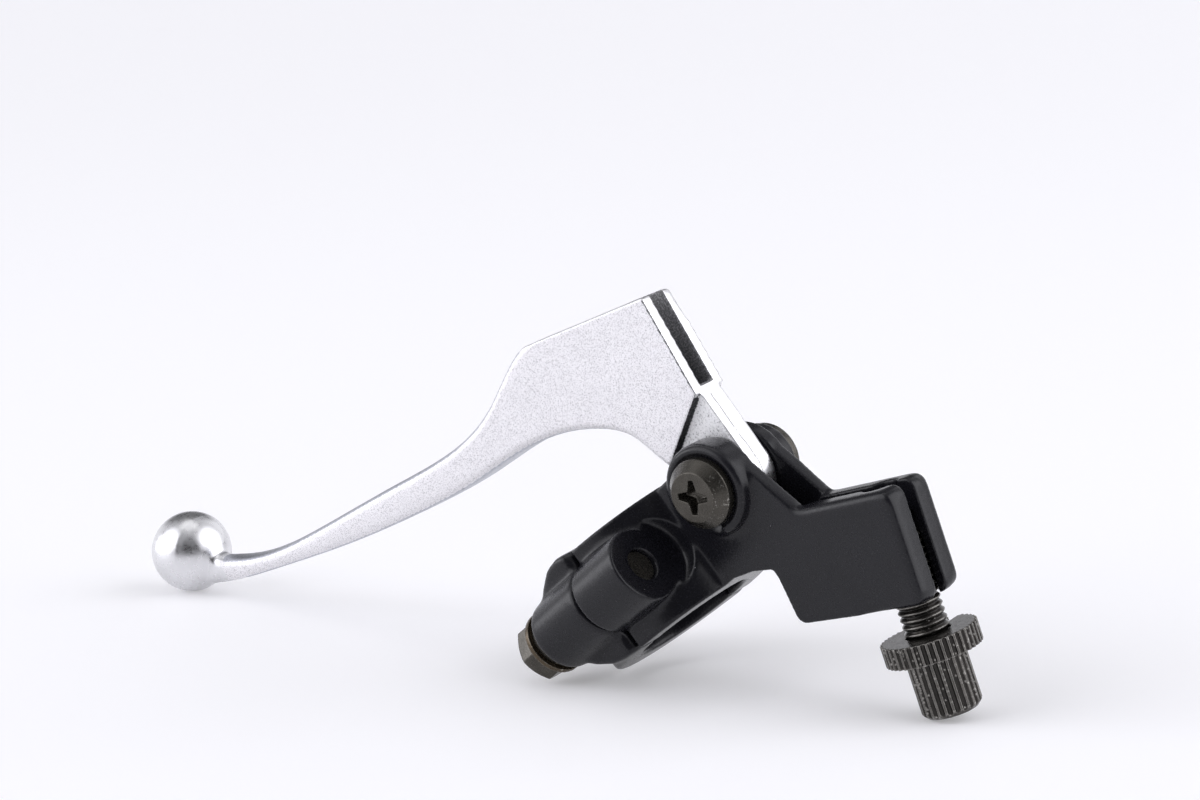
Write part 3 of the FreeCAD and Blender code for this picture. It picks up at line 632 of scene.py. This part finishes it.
def pale_floor():
    """A pale, faintly glowing surface that is clear from below, so a view from there sees the object."""
    pale = bpy.data.materials.new("pale_floor")
    pale.use_nodes = True
    tree = pale.node_tree
    main = tree.nodes["Principled BSDF"]
    main.inputs["Base Color"].default_value = FLOOR_COLOUR
    main.inputs["Emission Color"].default_value = FLOOR_GLOW_COLOUR
    main.inputs["Emission Strength"].default_value = FLOOR_GLOW
    main.inputs["Roughness"].default_value = FLOOR_ROUGHNESS
    main.inputs["Specular IOR Level"].default_value = FLOOR_SPECULAR
    clear = tree.nodes.new("ShaderNodeBsdfTransparent")
    side = tree.nodes.new("ShaderNodeNewGeometry")
    both = tree.nodes.new("ShaderNodeMixShader")
    tree.links.new(side.outputs["Backfacing"], both.inputs[0])
    tree.links.new(main.outputs["BSDF"], both.inputs[1])
    tree.links.new(clear.outputs["BSDF"], both.inputs[2])
    tree.links.new(both.outputs["Shader"], tree.nodes["Material Output"].inputs["Surface"])
    return pale


def make_floor():
    corners = [FLOOR_MIDDLE + FLOOR_HALF * on_stage(right, 0, away)
               for right, away in ((-1, -1), (1, -1), (1, 1), (-1, 1))]
    mesh = bpy.data.meshes.new("floor")
    mesh.from_pydata(corners, [], [(0, 1, 2, 3)])
    mesh.materials.append(pale_floor())
    floor = bpy.data.objects.new("floor", mesh)
    bpy.context.collection.objects.link(floor)


def make_world():
    """The room that lights the object and shows in its reflections, and a plain one behind the floor."""
    world = bpy.data.worlds.new("studio")
    world.use_nodes = True
    tree = world.node_tree
    heading = tree.nodes.new("ShaderNodeTexCoord").outputs["Generated"]

    def patch(direction, outer, inner, outside, inside):
        dot = tree.nodes.new("ShaderNodeVectorMath")
        dot.operation = "DOT_PRODUCT"
        tree.links.new(heading, dot.inputs[0])
        dot.inputs[1].default_value = on_stage(*direction).normalized()
        spread = tree.nodes.new("ShaderNodeMapRange")
        spread.interpolation_type = "SMOOTHSTEP"
        tree.links.new(dot.outputs["Value"], spread.inputs["Value"])
        limits = (("From Min", outer), ("From Max", inner), ("To Min", outside), ("To Max", inside))
        for name, number in limits:
            spread.inputs[name].default_value = number
        return spread.outputs["Result"]

    room = patch(*DIM_FRONT)
    for kind, *shape in ROOM_PATCHES.values():
        step = tree.nodes.new("ShaderNodeMath")
        step.operation = kind
        tree.links.new(room, step.inputs[0])
        tree.links.new(patch(*shape), step.inputs[1])
        room = step.outputs[0]
    lit = tree.nodes["Background"]
    lit.inputs["Color"].default_value = ROOM_COLOUR
    tree.links.new(room, lit.inputs["Strength"])
    plain = tree.nodes.new("ShaderNodeBackground")
    plain.inputs["Color"].default_value = BACKDROP_COLOUR
    path = tree.nodes.new("ShaderNodeLightPath")
    both = tree.nodes.new("ShaderNodeMixShader")
    tree.links.new(path.outputs["Is Camera Ray"], both.inputs[0])
    tree.links.new(lit.outputs[0], both.inputs[1])
    tree.links.new(plain.outputs[0], both.inputs[2])
    tree.links.new(both.outputs[0], tree.nodes["World Output"].inputs["Surface"])
    bpy.context.scene.world = world
    bpy.context.scene.view_settings.view_transform = "Standard"


def make_lamp():
    """A soft square light overhead, aimed at the object."""
    data = bpy.data.lights.new("overhead", "AREA")
    data.size = LAMP_SIZE
    data.energy = LAMP_POWER
    lamp = bpy.data.objects.new("overhead", data)
    bpy.context.collection.objects.link(lamp)
    lamp.location = FLOOR_MIDDLE + on_stage(*LAMP_PLACE)
    lamp.rotation_mode = "QUATERNION"
    lamp.rotation_quaternion = on_stage(*LAMP_PLACE).to_track_quat("Z", "Y")
    lamp.visible_camera = False


make_camera()
make_perch()
make_cap()
make_lever()
make_steel_pieces()
make_floor()
make_world()
make_lamp()
